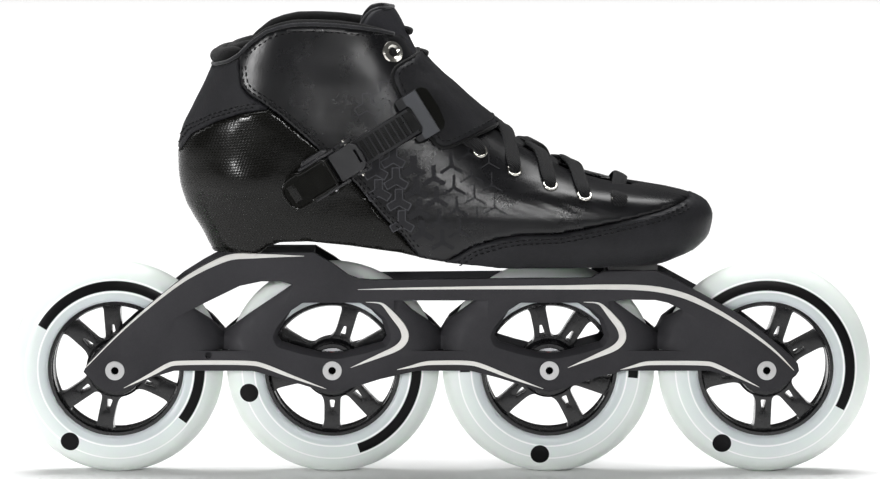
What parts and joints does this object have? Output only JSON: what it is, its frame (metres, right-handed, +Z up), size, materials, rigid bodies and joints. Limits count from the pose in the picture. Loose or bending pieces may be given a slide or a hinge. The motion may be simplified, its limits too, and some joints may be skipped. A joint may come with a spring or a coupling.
{
  "type": "inline skate",
  "caption": "Right-foot inline skate with a low laced leather boot, ratchet strap buckle and a metal frame holding large wheels in line.",
  "frame": {"origin": "on the ground, midway between the first and last axle, on the wheels' centre plane", "axes": "+X to the toe, +Z up, -Y to the outer side of the right foot"},
  "size_m": [0.445, 0.0964, 0.241],
  "materials": {
    "anodised_aluminium": "satin dark titanium-grey anodised, bright cut edges",
    "silver_screw": "silver plated, turned",
    "steel": "ground",
    "dark_steel": "black oxide",
    "aluminium": "satin machined",
    "composite": "gloss clear coat over black glass-fibre weave",
    "leather": "satin dark grey leather with pressed pattern",
    "leather_light": "satin dark grey leather",
    "rand_leather": "satin dark grey leather, double stitched",
    "lining": "matt black microfibre",
    "tongue": "soft dark grey microfibre leather",
    "chrome": "bright nickel",
    "lace": "dark grey woven",
    "strap_leather": "satin dark grey leather",
    "buckle_plastic": "fine texture grey",
    "lever": "gloss black",
    "ladder": "satin dark grey",
    "bracket": "satin mid grey",
    "tyre": "milky pale grey-green polyurethane with printed rings",
    "hub": "gloss black glass-filled nylon",
    "shield": "red rubber seal",
    "cage": "pressed steel cage and balls"
  },
  "bodies": {
    "root": {"frame": "anodised_aluminium", "axle_bolts": "silver_screw", "bearing_spacers": "steel", "bearing_inner_rings": "steel", "mount_bolts": "dark_steel", "mount_washers": "steel", "rear_mount_plate": "aluminium", "front_mount_block": "aluminium", "shell": "composite", "quarter_outer": "leather", "quarter_inner": "leather", "vamp": "leather", "heel_panel": "leather_light", "toe_rand": "rand_leather", "ankle_lining": "lining", "heel_roll": "lining", "insole": "lining", "tongue": "tongue", "lace_eyelets": "chrome", "ankle_eyelets": "chrome", "laces": "lace", "instep_strap": "strap_leather", "strap_anchor_screw": "silver_screw", "buckle_base": "buckle_plastic", "buckle_screw": "silver_screw", "lever_pin": "steel", "release_pin": "steel", "guide_pin": "steel"},
    "wheel_1": {"tyre_1": "tyre", "hub_1": "hub", "outer_rings_1": "steel", "shields_1": "shield"},
    "cages_1": {"ball_cages_1": "cage"},
    "wheel_2": {"tyre_2": "tyre", "hub_2": "hub", "outer_rings_2": "steel", "shields_2": "shield"},
    "cages_2": {"ball_cages_2": "cage"},
    "wheel_3": {"tyre_3": "tyre", "hub_3": "hub", "outer_rings_3": "steel", "shields_3": "shield"},
    "cages_3": {"ball_cages_3": "cage"},
    "wheel_4": {"tyre_4": "tyre", "hub_4": "hub", "outer_rings_4": "steel", "shields_4": "shield"},
    "cages_4": {"ball_cages_4": "cage"},
    "lever": {"buckle_lever": "lever", "lever_spring": "steel"},
    "release": {"release_lever": "buckle_plastic", "release_spring": "steel"},
    "strap": {"ladder_strap": "ladder", "strap_bracket": "bracket", "bracket_pin": "steel"}
  },
  "joints": [
    {"name": "wheel_1_spin", "type": "hinge", "parent": "root", "child": "wheel_1", "pos_m": [-0.1675, 0, 0.055], "axis": [0, 1, 0], "continuous": true},
    {"name": "cages_1_spin", "type": "hinge", "parent": "root", "child": "cages_1", "pos_m": [-0.1675, 0, 0.055], "axis": [0, 1, 0], "continuous": true},
    {"name": "wheel_2_spin", "type": "hinge", "parent": "root", "child": "wheel_2", "pos_m": [-0.05583, 0, 0.055], "axis": [0, 1, 0], "continuous": true},
    {"name": "cages_2_spin", "type": "hinge", "parent": "root", "child": "cages_2", "pos_m": [-0.05583, 0, 0.055], "axis": [0, 1, 0], "continuous": true},
    {"name": "wheel_3_spin", "type": "hinge", "parent": "root", "child": "wheel_3", "pos_m": [0.05583, 0, 0.055], "axis": [0, 1, 0], "continuous": true},
    {"name": "cages_3_spin", "type": "hinge", "parent": "root", "child": "cages_3", "pos_m": [0.05583, 0, 0.055], "axis": [0, 1, 0], "continuous": true},
    {"name": "wheel_4_spin", "type": "hinge", "parent": "root", "child": "wheel_4", "pos_m": [0.1675, 0, 0.055], "axis": [0, 1, 0], "continuous": true},
    {"name": "cages_4_spin", "type": "hinge", "parent": "root", "child": "cages_4", "pos_m": [0.1675, 0, 0.055], "axis": [0, 1, 0], "continuous": true},
    {"name": "lever_lift", "type": "hinge", "parent": "root", "child": "lever", "pos_m": [-0.05727, -0.0488, 0.16001], "axis": [-0.5225, 0, 0.8526], "range_deg": [0, 75], "stiffness_Nm_per_rad": 0.006, "springref_deg": -11.46},
    {"name": "release_lift", "type": "hinge", "parent": "root", "child": "release", "pos_m": [-0.05104, -0.0485, 0.16382], "axis": [0.5225, 0, -0.8526], "range_deg": [0, 22], "stiffness_Nm_per_rad": 0.006, "springref_deg": -17.19},
    {"name": "strap_slide", "type": "slide", "parent": "root", "child": "strap", "axis": [0.8526, 0, 0.5225], "range_m": [-0.0064, 0.0064]}
  ],
  "couplings": [
    {"joint": "cages_1_spin", "follows": "wheel_1_spin", "ratio": 0.632},
    {"joint": "cages_2_spin", "follows": "wheel_2_spin", "ratio": 0.632},
    {"joint": "cages_3_spin", "follows": "wheel_3_spin", "ratio": 0.632},
    {"joint": "cages_4_spin", "follows": "wheel_4_spin", "ratio": 0.632}
  ]
}
